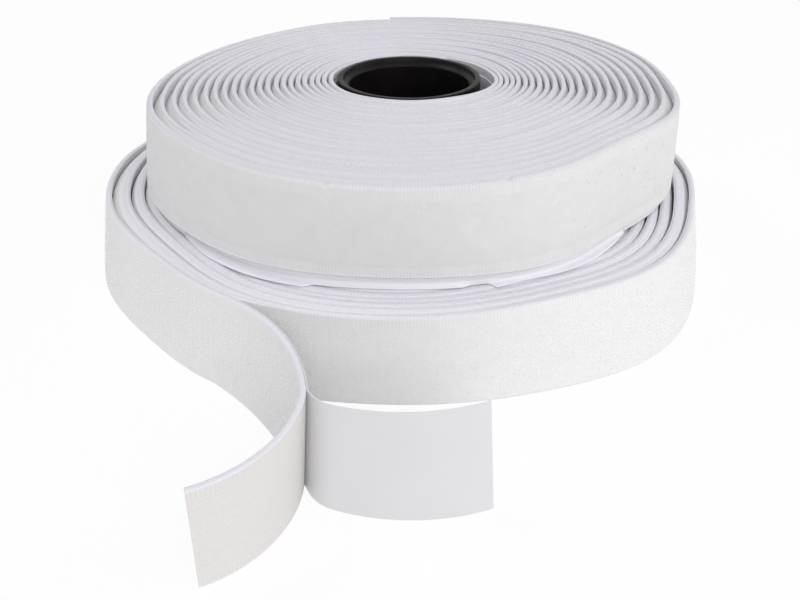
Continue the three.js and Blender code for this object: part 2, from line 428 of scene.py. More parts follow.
# %% [markdown]
# ## Materials
# Everything here is nearly white, so the finishes differ in gloss and in fine relief, not
# in hue. One function turns sRGB hex colours into the linear values that shaders use, and
# one adds a node with its settings and links. Patterns on tape read each point's place on
# its strip, so that they follow it round the roll.

# %% Helpers for materials
def linear(hex_colour):
    """An sRGB hex colour as linear red, green, blue and alpha."""
    channels = np.array([int(hex_colour[n : n + 2], 16) / 255 for n in (1, 3, 5)])
    low = channels / 12.92
    high = ((channels + 0.055) / 1.055) ** 2.4
    return (*np.where(channels <= 0.04045, low, high), 1)


def add_node(tree, kind, inputs=None, **settings):
    """One shader node. Its inputs are values, other nodes' outputs, or other nodes, which
    then give their first output."""
    node = tree.nodes.new("ShaderNode" + kind)
    for name, value in settings.items():
        setattr(node, name, value)
    for name, value in (inputs or {}).items():
        if isinstance(value, bpy.types.Node):
            value = value.outputs[0]
        if isinstance(value, bpy.types.NodeSocket):
            tree.links.new(value, node.inputs[name])
        else:
            node.inputs[name].default_value = value
    return node


def new_material(name, finish, *colours, **settings):
    """A material whose surface is the shader that a finish makes in its node tree."""
    material = bpy.data.materials.new(name)
    material.use_nodes = True
    tree = material.node_tree
    tree.nodes.clear()
    add_node(tree, "OutputMaterial", {"Surface": finish(tree, *colours, **settings)})
    print("material", name)
    return material


# %% [markdown]
# ### Woven nylon tape
# The ground of both tapes is a narrow woven nylon ribbon. Its weft threads turn back at
# the selvedges, where they show as fine upright ticks; between them the ground is almost
# hidden under hooks or pile. Sine waves along and across the strip give the threads, and
# they are strongest near the two edges. Where the waves are low the colour is a little
# darker, as painted shade between the threads. The real threads lie closer together than
# the waves do, but any finer they wouldn't show in the picture. The back is coated with
# acrylic adhesive, which fills the weave and gives it a warmer, smoother look. Both edges
# are painted a cooler colour, which stands for the cool light from above falling on them.

# %% Woven nylon
WEFT_PITCH = 0.65
WARP_PITCH = 0.75
SELVEDGE = 2.6
# Width of the band of painted cool light along each edge.
PAINTED_EDGE_LIGHT_BAND = 0.45
COAT_FROM_DEPTH = 0.6
COAT_TO_DEPTH = 0.9
THREAD_FUZZ_SIZE = 0.35
THREAD_RELIEF = 0.05


def woven_height(tree, along, from_middle, height):
    """Relief of a plain weave: the product of a wave along the tape and one across it, and
    in the selvedges the wave along the tape alone, which shows there as ticks."""
    waves = []
    for place, pitch in ((along, WEFT_PITCH), (height, WARP_PITCH)):
        phase = add_node(tree, "Math", {0: place, 1: TURN / (pitch * MM)}, operation="MULTIPLY")
        waves.append(add_node(tree, "Math", {0: phase}, operation="SINE"))
    weave = add_node(tree, "Math", {0: waves[0], 1: waves[1]}, operation="MULTIPLY")
    band = {
        "Value": from_middle,
        "From Min": (TAPE_WIDTH / 2 - SELVEDGE) * MM,
        "From Max": (TAPE_WIDTH / 2 - SELVEDGE / 2) * MM,
    }
    selvedge = add_node(tree, "MapRange", band, interpolation_type="SMOOTHSTEP")
    return add_node(tree, "Mix", {0: selvedge, 2: weave, 3: waves[0]})


def fabric(tree, face_hex, shade_hex, painted_edge_light_hex, back_hex, patch_size, roughness):
    """Woven nylon: a face colour with soft darker patches, painted shade where the weave lies
    low between threads, a cooler colour painted on both edges for the cool light from above,
    a warmer one on the back, and the weave as relief."""
    place = add_node(tree, "Attribute", attribute_name="strip_place").outputs["Vector"]
    along, height, depth = add_node(tree, "SeparateXYZ", {0: place}).outputs
    middle = add_node(tree, "Math", {0: height, 1: TAPE_WIDTH / 2 * MM}, operation="SUBTRACT")
    middle = add_node(tree, "Math", {0: middle}, operation="ABSOLUTE")
    relief = woven_height(tree, along, middle, height)

    patches = {"Vector": place, "Scale": 1 / (patch_size * MM), "Detail": 4, "Roughness": 0.6}
    patches = add_node(tree, "TexNoise", patches)
    coat = {"From Min": -COAT_FROM_DEPTH * MM, "From Max": -COAT_TO_DEPTH * MM}
    # Painted light: a cooler, slightly darker band on both edges stands for the cool light from above on
    # them.
    painted_edge_light_band = {
        "From Min": (TAPE_WIDTH / 2 - PAINTED_EDGE_LIGHT_BAND) * MM,
        "From Max": (TAPE_WIDTH / 2 - PAINTED_EDGE_LIGHT_BAND / 3) * MM,
    }
    shares = {
        shade_hex: {"Value": patches, "From Min": 0.35, "From Max": 0.75, "To Max": 0.7},
        back_hex: {"Value": depth, **coat},
        painted_edge_light_hex: {"Value": middle, **painted_edge_light_band},
    }
    colour = linear(face_hex)
    for hex_colour, share in shares.items():
        inputs = {0: add_node(tree, "MapRange", share), 6: colour, 7: linear(hex_colour)}
        colour = add_node(tree, "Mix", inputs, data_type="RGBA").outputs[2]
    # Painted shade: the colour is up to 2.5% darker where the weave lies low between threads.
    painted_thread_shade = {"Value": relief, "From Min": -1, "From Max": -0.2, "To Min": 0.975, "To Max": 1}
    painted_thread_shade = add_node(tree, "MapRange", painted_thread_shade)
    colour = add_node(tree, "VectorMath", {0: colour, "Scale": painted_thread_shade}, operation="SCALE")

    fuzz = add_node(tree, "TexNoise", {"Vector": place, "Scale": 1 / (THREAD_FUZZ_SIZE * MM), "Detail": 2})
    height = add_node(tree, "Math", {0: relief, 1: fuzz}, operation="ADD")
    bump = {"Height": height, "Strength": 0.4, "Distance": THREAD_RELIEF * MM}
    surface = {
        "Base Color": colour,
        "Roughness": roughness,
        "IOR": 1.5,
        "Sheen Weight": 0.2,
        "Sheen Roughness": 0.5,
        "Normal": add_node(tree, "Bump", bump),
    }
    return add_node(tree, "BsdfPrincipled", surface)


# The third colour of each is painted light: the cooler tint of the edges under the light from above.
hook_ground = new_material(
    "woven_nylon_hook_ground", fabric,
    "#ededec", "#e9e9e8", "#e8e7ed", "#dfddda", patch_size=3, roughness=0.7,
)
loop_ground = new_material(
    "woven_nylon_loop_ground", fabric,
    "#e4e4e3", "#dededd", "#dddce2", "#e0dfe1", patch_size=5, roughness=0.9,
)

# %% [markdown]
# ### Nylon filament
# The hooks are stiff cut loops of clear nylon filament, 0.2 mm thick, which look white and
# slightly glossy. The pile is the same nylon in soft hair-fine loops, which look matt
# together. Slow patches a shade darker stand for places where it has been pressed. Both
# are painted a little brighter than the tape's ground as painted light, which makes up for
# the shade they throw on themselves and on the ground beside them.


# %% Nylon filament
def filament(tree, hex_colour, roughness, patch_size):
    """Nylon thread: one colour, a little darker in slow patches."""
    place = add_node(tree, "Attribute", attribute_name="strip_place").outputs["Vector"]
    patches = add_node(tree, "TexNoise", {"Vector": place, "Scale": 1 / (patch_size * MM), "Detail": 3})
    shade = {"Value": patches, "From Min": 0.3, "From Max": 0.7, "To Min": 0.965, "To Max": 1}
    colour = {0: linear(hex_colour)[:3], "Scale": add_node(tree, "MapRange", shade)}
    colour = add_node(tree, "VectorMath", colour, operation="SCALE")
    surface = {"Base Color": colour, "Roughness": roughness, "IOR": 1.53}
    return add_node(tree, "BsdfPrincipled", surface)


# Painted light: hooks and pile are painted brighter than the ground beneath, against their own shade.
hook_filament_painted_light = new_material(
    "nylon_hook_filament", filament, "#fcfcfb", roughness=0.4, patch_size=2.5
)
pile_filament_painted_light = new_material(
    "nylon_loop_filament", filament, "#e8e8e7", roughness=0.9, patch_size=4
)

# %% [markdown]
# ### Brushed nap
# The loops of the upper tape are brushed until they lie in a felt of hair-fine nylon. It
# throws light back evenly, so it looks matt and soft, with slow patches where it lies one
# way or the other. A little sheen stands for the stray hairs, and a very fine noise for
# the felt itself.

# %% Brushed nylon
NAP_PATCH_SIZE = 6
NAP_FUZZ_SIZE = 0.15
NAP_RELIEF = 0.06


def brushed_nap(tree, hex_colour, shade_hex):
    """Brushed nylon: matt, with slow patches in two near colours and a very fine fuzz."""
    place = add_node(tree, "Attribute", attribute_name="strip_place").outputs["Vector"]
    patches = {"Vector": place, "Scale": 1 / (NAP_PATCH_SIZE * MM), "Detail": 5, "Roughness": 0.65}
    share = {"Value": add_node(tree, "TexNoise", patches), "From Min": 0.35, "From Max": 0.7}
    colour = {0: add_node(tree, "MapRange", share), 6: linear(hex_colour), 7: linear(shade_hex)}
    fuzz = add_node(tree, "TexNoise", {"Vector": place, "Scale": 1 / (NAP_FUZZ_SIZE * MM), "Detail": 3})
    bump = {"Height": fuzz, "Strength": 0.5, "Distance": NAP_RELIEF * MM}
    surface = {
        "Base Color": add_node(tree, "Mix", colour, data_type="RGBA").outputs[2],
        "Roughness": 0.95,
        "Sheen Weight": 0.25,
        "Sheen Roughness": 0.6,
        "Normal": add_node(tree, "Bump", bump),
    }
    return add_node(tree, "BsdfPrincipled", surface)


loop_nap = new_material("brushed_nylon_nap", brushed_nap, "#e0e0df", "#dcdcdb")

# %% [markdown]
# ### Release paper
# The liner is white paper with a silicone coat, so it has a soft gloss. It is thin and
# slightly wavy where it has been pulled. The relief is a slow noise a few millimetres
# long, and a faint cool tint tells it from the tape. The upper liner is painted brighter
# and a little cooler, as painted light for its pressed foot, which is all that shows of it
# and has the light full on it.

# %% Release paper
PAPER_WAVE_SIZE = 9
PAPER_FIBRE_SIZE = 0.4
PAPER_FIBRE_SHARE = 0.08
PAPER_RELIEF = 0.15


def release_paper(tree, hex_colour):
    """Siliconed paper: a smooth coat over very slight waves and fibres."""
    place = add_node(tree, "TexCoord").outputs["Object"]
    waves = add_node(tree, "TexNoise", {"Vector": place, "Scale": 1 / (PAPER_WAVE_SIZE * MM), "Detail": 2})
    fibres = add_node(tree, "TexNoise", {"Vector": place, "Scale": 1 / (PAPER_FIBRE_SIZE * MM), "Detail": 3})
    height = {0: fibres, 1: PAPER_FIBRE_SHARE, 2: waves}
    height = add_node(tree, "Math", height, operation="MULTIPLY_ADD")
    bump = {"Height": height, "Strength": 0.4, "Distance": PAPER_RELIEF * MM}
    # Painted shade: the colour is a little darker where the slow waves of the relief are low.
    shade = {"Value": waves, "From Min": 0.3, "From Max": 0.7, "To Min": 0.975, "To Max": 1}
    colour = {0: linear(hex_colour)[:3], "Scale": add_node(tree, "MapRange", shade)}
    surface = {
        "Base Color": add_node(tree, "VectorMath", colour, operation="SCALE"),
        "Roughness": 0.42,
        "IOR": 1.45,
        "Coat Weight": 0.25,
        "Coat Roughness": 0.3,
        "Normal": add_node(tree, "Bump", bump),
    }
    return add_node(tree, "BsdfPrincipled", surface)


liner_paper = new_material("siliconed_release_paper", release_paper, "#dedee0")
# Painted light: the upper liner's paper is brighter and cooler, for the light falling full on its foot.
liner_paper_painted_light = new_material("siliconed_release_paper_painted_light", release_paper, "#efeff4")

# %% [markdown]
# ### Black polypropylene
# The core is an injection-moulded tube. Its faces are satin, with a fine spark-eroded
# grain from the mould and a slightly brown cast where light grazes it.

# %% Black polypropylene
MOULD_GRAIN_SIZE = 0.25
MOULD_GRAIN_RELIEF = 0.03
GLOSS_PATCH_SIZE = 4


def moulded_plastic(tree, hex_colour):
    """Moulded polypropylene: dark, satin, with fine mould grain and uneven gloss."""
    place = add_node(tree, "TexCoord").outputs["Object"]
    grain = add_node(tree, "TexNoise", {"Vector": place, "Scale": 1 / (MOULD_GRAIN_SIZE * MM), "Detail": 2})
    smear = add_node(tree, "TexNoise", {"Vector": place, "Scale": 1 / (GLOSS_PATCH_SIZE * MM), "Detail": 3})
    gloss = {"Value": smear, "From Min": 0.3, "From Max": 0.7, "To Min": 0.34, "To Max": 0.5}
    bump = {"Height": grain, "Strength": 0.3, "Distance": MOULD_GRAIN_RELIEF * MM}
    surface = {
        "Base Color": linear(hex_colour),
        "Roughness": add_node(tree, "MapRange", gloss),
        "IOR": 1.49,
        "Specular IOR Level": 0.12,
        "Normal": add_node(tree, "Bump", bump),
    }
    return add_node(tree, "BsdfPrincipled", surface)


core_plastic = new_material("moulded_polypropylene", moulded_plastic, "#0d0b0a")

# %% [markdown]
# ## The cores
# Each core is a short tube with a raised lip round both ends, a step inside the lip and a
# bevel into the bore. It is turned from a profile, with every corner rounded by a small
# arc so that its edges catch the light.

# %% Turn a profile
CORE_BORE_RADIUS = 14.9
CORE_LIP_WIDTH = 1.3
CORE_LIP_HEIGHT = 1.1
CORE_LIP_SLOPE = 0.25
CORE_BEVEL = 0.8
CORE_ROUNDING = 0.22
CORE_SEGMENTS = 192
MOST_ROUNDING_SHARE = 0.45


def rounded(corners, radius, steps=4):
    """A closed outline with each corner cut by a curve: a quadratic one from a point before
    the corner to a point after it, pulled towards the corner itself."""
    corners = np.asarray(corners, float)
    points = []
    for neighbour in (1, -1):
        side = np.roll(corners, neighbour, axis=0) - corners
        share = np.minimum(radius / np.linalg.norm(side, axis=1), MOST_ROUNDING_SHARE)
        points.append((corners + side * share[:, None])[:, None])
    start, end = points
    t = np.linspace(0, 1, steps)[None, :, None]
    curve = (1 - t) ** 2 * start + 2 * t * (1 - t) * corners[:, None] + t**2 * end
    return curve.reshape(-1, 2)


def core(name, axis, base):
    """The tube's profile, turned in even steps about its axis."""
    lip = CORE_RADIUS - CORE_LIP_WIDTH
    half = [
        (CORE_RADIUS, 0),
        (lip, 0),
        (lip - CORE_LIP_SLOPE, CORE_LIP_HEIGHT),
        (CORE_BORE_RADIUS + CORE_BEVEL, CORE_LIP_HEIGHT),
        (CORE_BORE_RADIUS, CORE_LIP_HEIGHT + CORE_BEVEL),
    ]
    corners = half + [(radius, TAPE_WIDTH - height) for radius, height in reversed(half)]
    radius, height = rounded(corners, CORE_ROUNDING).T
    angle = np.linspace(0, TURN, CORE_SEGMENTS, endpoint=False)
    grid = np.empty((CORE_SEGMENTS, len(radius), 3))
    grid[..., 0] = axis[0] + np.cos(angle)[:, None] * radius
    grid[..., 1] = axis[1] + np.sin(angle)[:, None] * radius
    grid[..., 2] = base + height
    index = np.arange(grid.shape[0] * grid.shape[1]).reshape(grid.shape[:2])
    faces = quads(index, np.roll(index, -1, axis=0)).reshape(-1, 4).tolist()
    place = np.zeros(grid.shape).reshape(-1, 3)
    print(name, "has", 2 * len(faces), "triangles")
    return new_piece(name, grid.reshape(-1, 3), faces, place, core_plastic)


belongs(core("lower_core", hook_axis, 0), "hook_roll", "hook_core")
belongs(core("upper_core", loop_axis, LOOP_BASE), "loop_core", "loop_core")

# %% [markdown]
# ## The wound tapes
# Each winding is one unbroken strip from the core to its free end. The outer turn has many
# more cross-sections than the rest, because it is seen close up. Front and back the turns
# are pressed together, so there the face of each one bulges right from its edges until it
# meets the next. Round the two sides they stand open, and the face comes out only deeper
# down, which leaves dark gaps between the edges. The turns are also a little uneven in gap
# and height, as on any roll that has been handled.

# %% Steps along the windings
INNER_STEPS = 106
OUTER_STEPS = 640
EDGE_ROUNDING = 0.15
BACK_DEPTH = 1.0
TURN_GAP = 0.06
COVER_FADE = 0.03


def turn_steps(first, last):
    """Numbers of turns at which a winding has a cross-section."""
    inner = np.linspace(first, last - 1, int((last - 1 - first) * INNER_STEPS), endpoint=False)
    return np.concatenate([inner, np.linspace(last - 1, last, OUTER_STEPS + 1)])


def smooth(share):
    """A share between nothing and one, made to start and end gently."""
    share = np.clip(share, 0, 1)
    return share * share * (3 - 2 * share)


def bulges(radius, turns, angle, depth, sides, width, most_open, own_bulge):
    """How far the face of a turn bulges from its edges, and how far only deeper down. Where
    another turn covers it, it fills the gap up to the next one. Round the open sides most
    of that comes only deeper down. Uncovered, it has its own small bulge."""
    gap = np.maximum(radius(turns + 1, angle) - radius(turns, angle) - depth - TURN_GAP, 0)
    open_share = most_open * np.clip(sum(bell(angle, side, width) for side in sides), 0, 1)
    covered = 1 - smooth((turns - turns.max() + 1) / COVER_FADE)
    from_edges = gap * (1 - open_share) * covered + own_bulge * (1 - covered)
    return from_edges, gap * open_share * covered


# %% [markdown]
# The loop tape begins at the right of the core. The first turns pass over its start in a
# slack bulge, and stand up a little at the front. Its outer turn has two small nicks in
# the upper edge at the front, and its foot is tucked in there.

# %% The loop tape
LOOSENESS = 0.1
EDGE_WANDER = 0.16
PILE_BULGE = 0.35
LOOP_FRONT_TUCK = 1.0
LOOP_RIGHT_SHARE = 0.2
LOOP_OPEN_SIDES = np.radians([197, 346])
LOOP_OPEN_WIDTH = np.radians(22)
LOOP_MOST_OPEN = 1.0
LOOP_SHOULDER = 0.3
LOOP_DEEP = (0.5, 2.4)
LOOP_START_TURN = 0.15
CORE_SLACK = 1.5
CORE_SLACK_ANGLE = np.radians(350)
CORE_SLACK_WIDTH = np.radians(34)
CORE_SLACK_TURNS = 3.5
CORE_SLACK_FROM = 0.45
CORE_SLACK_RISE = 0.4
NICKS = np.radians([286.1, 255.8])
NICK_WIDTH = np.radians(0.4)
NICK_DEPTH = 0.5
FRONT_LIFT = 0.8
FRONT_LIFT_WIDTH = np.radians(70)
FRONT_LIFT_TURNS = 2


def loop_winding_radius(turns, angle):
    """Radius of the loop tape as wound: the start of the tape lies on the core, and the
    first turns pass over it in a bulge that dies away exponentially."""
    begun = smooth((turns - CORE_SLACK_FROM) / CORE_SLACK_RISE)
    slack = CORE_SLACK * begun * np.exp(-np.maximum(turns - 1, 0) / CORE_SLACK_TURNS)
    return loop_radius(turns, angle) + slack * bell(angle, CORE_SLACK_ANGLE, CORE_SLACK_WIDTH)


loop_turns = turn_steps(LOOP_START_TURN, LOOP_TURNS)
loop_angles = LOOP_START_ANGLE + TURN * loop_turns
loop_turns_in = LOOP_TURNS - loop_turns
outer_turn = smooth((1 - loop_turns_in) / COVER_FADE)
nicks = NICK_DEPTH * sum(bell(loop_angles, nick, NICK_WIDTH) for nick in NICKS) * outer_turn
front_lift = FRONT_LIFT * bell(loop_angles, FRONT_ANGLE, FRONT_LIFT_WIDTH)
front_lift *= np.exp(-loop_turns / FRONT_LIFT_TURNS)
loop_rise = wander(loop_turns, 0.61, EDGE_WANDER, seed=4) - EDGE_WANDER - nicks + front_lift
loop_route = wound_route(
    loop_axis,
    loop_winding_radius,
    LOOP_START_ANGLE,
    loop_turns,
    flare(LOOP_FLARE_REACH, loop_angles, loop_turns_in, LOOP_FRONT_TUCK, LOOP_RIGHT_SHARE),
    wander(loop_turns, 0.73, LOOSENESS, seed=3),
    loop_rise,
    bulges(
        loop_winding_radius, loop_turns, loop_angles, BACK_DEPTH,
        LOOP_OPEN_SIDES, LOOP_OPEN_WIDTH, LOOP_MOST_OPEN, PILE_BULGE,
    ),
)
loop_face = bulging_face(EDGE_ROUNDING, LOOP_SHOULDER, *LOOP_DEEP)
loop_outline = strip_outline(BACK_DEPTH, EDGE_ROUNDING, loop_face)
loop_tape = strip("loop_tape_winding", with_end_rings(loop_route), loop_outline, LOOP_BASE, loop_ground)
belongs(loop_tape, "loop_pack", "loop_tape")

# %% The hook tape
LINER_LIES = 0.02
HOOK_OPEN_SIDES = np.radians([188, 352])
HOOK_OPEN_WIDTH = np.radians(36)
HOOK_MOST_OPEN = 0.55
HOOK_SHOULDER = 0.12
HOOK_DEEP = (0.3, 2.0)
HOOK_BULGE = 0.1
STILL_END_TURNS = 0.05

hook_turns = turn_steps(0, HOOK_TURNS)
hook_angles = HOOK_END_ANGLE + TURN * (hook_turns - HOOK_TURNS)
still_at_end = smooth((HOOK_TURNS - hook_turns) / STILL_END_TURNS)
hook_route = wound_route(
    hook_axis,
    hook_radius,
    HOOK_END_ANGLE - TURN * HOOK_TURNS,
    hook_turns,
    flare(HOOK_FLARE_REACH, hook_angles, HOOK_TURNS - hook_turns),
    wander(hook_turns, 0.67, LOOSENESS, seed=5) * still_at_end,
    (wander(hook_turns, 0.59, EDGE_WANDER, seed=6) - EDGE_WANDER) * still_at_end,
    bulges(
        hook_radius, hook_turns, hook_angles, BACK_DEPTH + LINER_LIES + LINER_THICKNESS,
        HOOK_OPEN_SIDES, HOOK_OPEN_WIDTH, HOOK_MOST_OPEN, HOOK_BULGE,
    ),
)
hook_face = bulging_face(EDGE_ROUNDING, HOOK_SHOULDER, *HOOK_DEEP)
hook_outline = strip_outline(BACK_DEPTH, EDGE_ROUNDING, hook_face)
hook_tape = strip("hook_tape_winding", with_end_rings(hook_route), hook_outline, 0, hook_ground)
belongs(hook_tape, "hook_roll", "hook_tape")

# %% [markdown]
# ## The wound liners
# The release paper lies against the back of each tape. On the upper roll it hangs lower
# than the tape and shows as a narrow band under the face. Its foot is turned out where it
# has been pressed on the lower roll, so it catches the light in thin bright lines, and it
# is torn at two places near the front. The bright lines are partly real light on the
# turned-out foot and partly painted light, because the upper liner's paper is painted
# brighter. The turned-out foot is a narrow strip of its own.

# %% The liners
LINER_ROUNDING = 0.05


def against_back(route, depth):
    """The same route with a plain face, moved inwards by a depth."""
    flat = np.zeros(len(route.along))
    return route._replace(edge=route.edge + route.left * depth, bulge=flat, deep=flat)


liner_outline = strip_outline(LINER_THICKNESS, LINER_ROUNDING, [(0, 2 * LINER_ROUNDING, 0, 0)])
loop_liner_route = against_back(loop_route, BACK_DEPTH + LINER_LIES)
loop_liner_base = LOOP_BASE - LOOP_LINER_OVERHANG
loop_liner = strip(
    "loop_liner_winding", loop_liner_route, liner_outline, loop_liner_base, liner_paper_painted_light
)
belongs(loop_liner, "loop_pack", "loop_liner")

hook_liner_route = against_back(hook_route, BACK_DEPTH + LINER_LIES)
hook_liner = strip("hook_liner_winding", hook_liner_route, liner_outline, 0, liner_paper)
belongs(hook_liner, "hook_roll", "hook_liner")

# %% The turned-out foot of the upper liner
FOOT_REACH = 1.0
FOOT_PROFILE = np.array([
    (-0.05, -0.24, 0, 0), (0.02, -0.24, 0.5, 0), (0.02, -0.24, 1, 0), (0.02, -0.14, 1.02, 0),
    (0.02, -0.04, 0.7, 0), (0.02, 0.1, 0.4, 0), (0.02, 0.35, 0.15, 0), (0.02, 0.8, 0, 0),
    (-0.05, 0.8, 0, 0),
])
FOOT_DEGREES = [
    221, 230, 240, 251.5, 252.7, 262, 268.5, 279, 280.5,
    283.8, 284.4, 289.5, 293, 300, 306, 313, 320,
]
FOOT_SHARES = [0, 1.6, 2.1, 2.2, 1.0, 0.9, 0.9, 0.8, 0, 0, 1.8, 0.8, 0.9, 1.8, 2.2, 1.6, 0]

foot_angles = np.degrees(loop_angles[-OUTER_STEPS:] % TURN)
foot_rows = np.flatnonzero((foot_angles > FOOT_DEGREES[0]) & (foot_angles < FOOT_DEGREES[-1]))
foot_route = part_of(loop_liner_route, foot_rows[0] - OUTER_STEPS, foot_rows[-1] - OUTER_STEPS)
foot_reach = FOOT_REACH * np.interp(foot_angles[foot_rows[:-1]], FOOT_DEGREES, FOOT_SHARES)
foot_route = foot_route._replace(bulge=foot_reach)
loop_foot = strip("loop_liner_foot", foot_route, FOOT_PROFILE, loop_liner_base, liner_paper_painted_light)
belongs(loop_foot, "loop_pack")

# %% [markdown]
# ## The free end
# Tape and liner leave the lower roll together. At the peel line the tape curls back to the
# left, and the liner curls away to the right. Each is made in two stretches that meet
# halfway along the leg, because a piece can bend at only one joint. The leg sets off at
# the winding's own heading, so that no kink shows where the two meet.

# %% Path of the free end
TAIL_GAP = 0.4
TAIL_LEAVE_TURN = np.radians(-0.5)
LEG_BOW = 1.6
PEEL_LEAN = 1.3
TAPE_END_FOLD = np.radians(-9)
TAPE_END_LEAN = 1.1
LINER_FOLD = np.radians(14)
LINER_LEAN = 2.8
# Each bend is a length in mm, a turn and a number of steps.
LEG_BENDS = [(TAIL_GAP, 0, 2), (35, np.radians(-52.5), 64), (TAIL_GAP, 0, 2)]
TAPE_END_BENDS = [(25.7, np.radians(-68), 48)]
LINER_END_BENDS = [(5.5, np.radians(49), 20), (25.4, np.radians(40.5), 36)]

last_step = hook_route.edge[-1] - hook_route.edge[-2]
last_heading = np.arctan2(last_step[1], last_step[0]) % TURN
leave_heading = HOOK_END_ANGLE + np.pi / 2 + TAIL_LEAVE_TURN
leg_points, leg_headings = bent_path(
    hook_route.edge[-1], leave_heading, LEG_BENDS, off=last_heading - leave_heading
)
leg_share = np.linspace(0, 1, len(leg_points))
leg_lean = hook_route.lean[-1] + (PEEL_LEAN - hook_route.lean[-1]) * leg_share
leg_lean += LEG_BOW * np.sin(np.pi * leg_share)

end_points, end_headings = bent_path(
    leg_points[-1], leg_headings[-1] + TAPE_END_FOLD, TAPE_END_BENDS
)
end_lean = np.linspace(PEEL_LEAN, TAPE_END_LEAN, len(end_points))

leg_left = left_of(leg_headings)
liner_points, liner_headings = bent_path(
    leg_points[-1] + leg_left[-1] * LINER_DEPTH, leg_headings[-1] + LINER_FOLD, LINER_END_BENDS
)
liner_lean = np.linspace(PEEL_LEAN, LINER_LEAN, len(liner_points))

tape_route = path_route(
    np.concatenate([leg_points, end_points[1:]]),
    np.concatenate([leg_headings, end_headings[1:]]),
    np.concatenate([leg_lean, end_lean[1:]]),
    HOOK_BULGE,
)
liner_route = path_route(
    np.concatenate([leg_points + leg_left * (BACK_DEPTH + LINER_LIES), liner_points[1:]]),
    np.concatenate([leg_headings, liner_headings[1:]]),
    np.concatenate([leg_lean, liner_lean[1:]]),
)
print("the winding ends at heading", np.degrees(last_heading).round(1))
print("the peel line is at", leg_points[-1].round(1))

# %% Bends of the free end
SWING_BEFORE = 1
SWING_AFTER = 8
TAPE_BEND_REACH = 4
LINER_BEND_REACH = 3
SWING = ("hook_roll", "hook_tail", "tail_swing", leave_heading, SWING_BEFORE, SWING_AFTER)
TAPE_BEND = (
    "hook_tail", "hook_tape_end", "tape_end_bend",
    leg_headings[-1], TAPE_BEND_REACH, TAPE_BEND_REACH,
)
LINER_BEND = (
    "hook_tail", "hook_liner_end", "liner_end_peel",
    leg_headings[-1], LINER_BEND_REACH, LINER_BEND_REACH,
)


def bend(piece, body_a, body_b, joint_name, heading, before, after):
    """Bakes the piece's placement into its mesh; the piece is not made to bend. The two bodies, the joint
    name, the heading and the stretch before and after it are not used."""
    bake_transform(piece)


# %% Strips of the free end
half_leg = len(leg_points) // 2
leg, peeled = (0, half_leg + 1), (half_leg, None)
tape_make = (hook_outline, hook_ground, "hook_fabric")
liner_make = (liner_outline, liner_paper, "liner_paper")
for name, node, route, stretch, (outline, material, slot_name), joint_bend in (
    ("hook_tape_leg", "hook_tape_tail", tape_route, leg, tape_make, SWING),
    ("hook_tape_peeled", "hook_tape_end", tape_route, peeled, tape_make, TAPE_BEND),
    ("hook_liner_leg", "hook_liner_tail", liner_route, leg, liner_make, SWING),
    ("hook_liner_peeled", "hook_liner_end", liner_route, peeled, liner_make, LINER_BEND),
):
    piece = strip(name, with_end_rings(part_of(route, *stretch)), outline, 0, material)
    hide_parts(node)
    bend(piece, *joint_bend)

# %% [markdown]
# ## The hooks
# A hook is a bent nylon filament 0.2 mm thick that stands up and curls over along the tape.
# The hooks stand in columns 1.5 mm apart, and every other row curls the other way. They
# are low here, because the strip's thickness already holds most of their height. One
# small bent tube is worked out once and then copied to every place as one array.

# %% Bent filaments
FILAMENT_TIP_SHARE = 0.15
ASKEW = (0.13, 0.21, 0.97)


def filament_shape(spine, radius, sides=3):
    """A thin tube along a spine: a ring of points round each spine point, in the plane at
    right angles to the spine there. The ring at each end shrinks almost to a point.
    Returns its points and its faces."""
    ahead = np.gradient(spine, axis=0)
    ahead /= np.linalg.norm(ahead, axis=1)[:, None]
    across = np.cross(ahead, ASKEW)
    across /= np.linalg.norm(across, axis=1)[:, None]
    above = np.cross(ahead, across)
    turn = np.linspace(0, TURN, sides, endpoint=False)[None, :, None]
    ring = across[:, None] * np.cos(turn) + above[:, None] * np.sin(turn)
    radii = np.full(len(spine), radius)
    radii[[0, -1]] *= FILAMENT_TIP_SHARE
    points = spine[:, None] + ring * radii[:, None, None]
    index = np.arange(len(spine) * sides).reshape(-1, sides)
    return points.reshape(-1, 3), quads(index[:-1], index[1:]).reshape(-1, 4)


def on_route(route, along, height, base):
    """Points at a length along a route and a height on it, on its bulging face, with the
    directions along the strip and out of it there."""
    here = at_lengths(route, along)
    left = here.left / np.linalg.norm(here.left, axis=1)[:, None]
    share = height / TAPE_WIDTH
    plan = here.edge - left * (here.bulge + here.lean * (1 - share))[:, None]
    level = np.zeros(len(along))
    points = np.column_stack([plan, base + height + here.rise * share])
    return points, np.column_stack([left[:, 1], -left[:, 0], level]), np.column_stack([-left, level])


def filaments(name, shape, route, base, along, height, turns, sizes, material):
    """Copies of a small shape on a strip's face. Each is turned about its outward
    direction, scaled, and set at its own origin with its own directions, all worked out as
    one array."""
    shape_points, shape_faces = shape
    origins, ahead, outward = on_route(route, along, height, base)
    up = np.array([0, 0, 1.0])
    cos, sin = np.cos(turns)[:, None], np.sin(turns)[:, None]
    axes = np.stack([ahead * cos + up * sin, outward, up * cos - ahead * sin], axis=1)
    axes *= sizes[:, None, None]
    points = origins[:, None] + np.einsum("pk,nkc->npc", shape_points, axes)
    shift = (np.arange(len(origins)) * len(shape_points))[:, None, None]
    faces = (shape_faces[None] + shift).reshape(-1, 4)
    strip_place = np.column_stack([along, height, np.zeros(along.size)])
    strip_place = np.repeat(strip_place, len(shape_points), axis=0)
    print(name, "has", len(origins), "filaments and", 2 * len(faces), "triangles")
    return new_piece(name, points.reshape(-1, 3), faces.tolist(), strip_place, material)


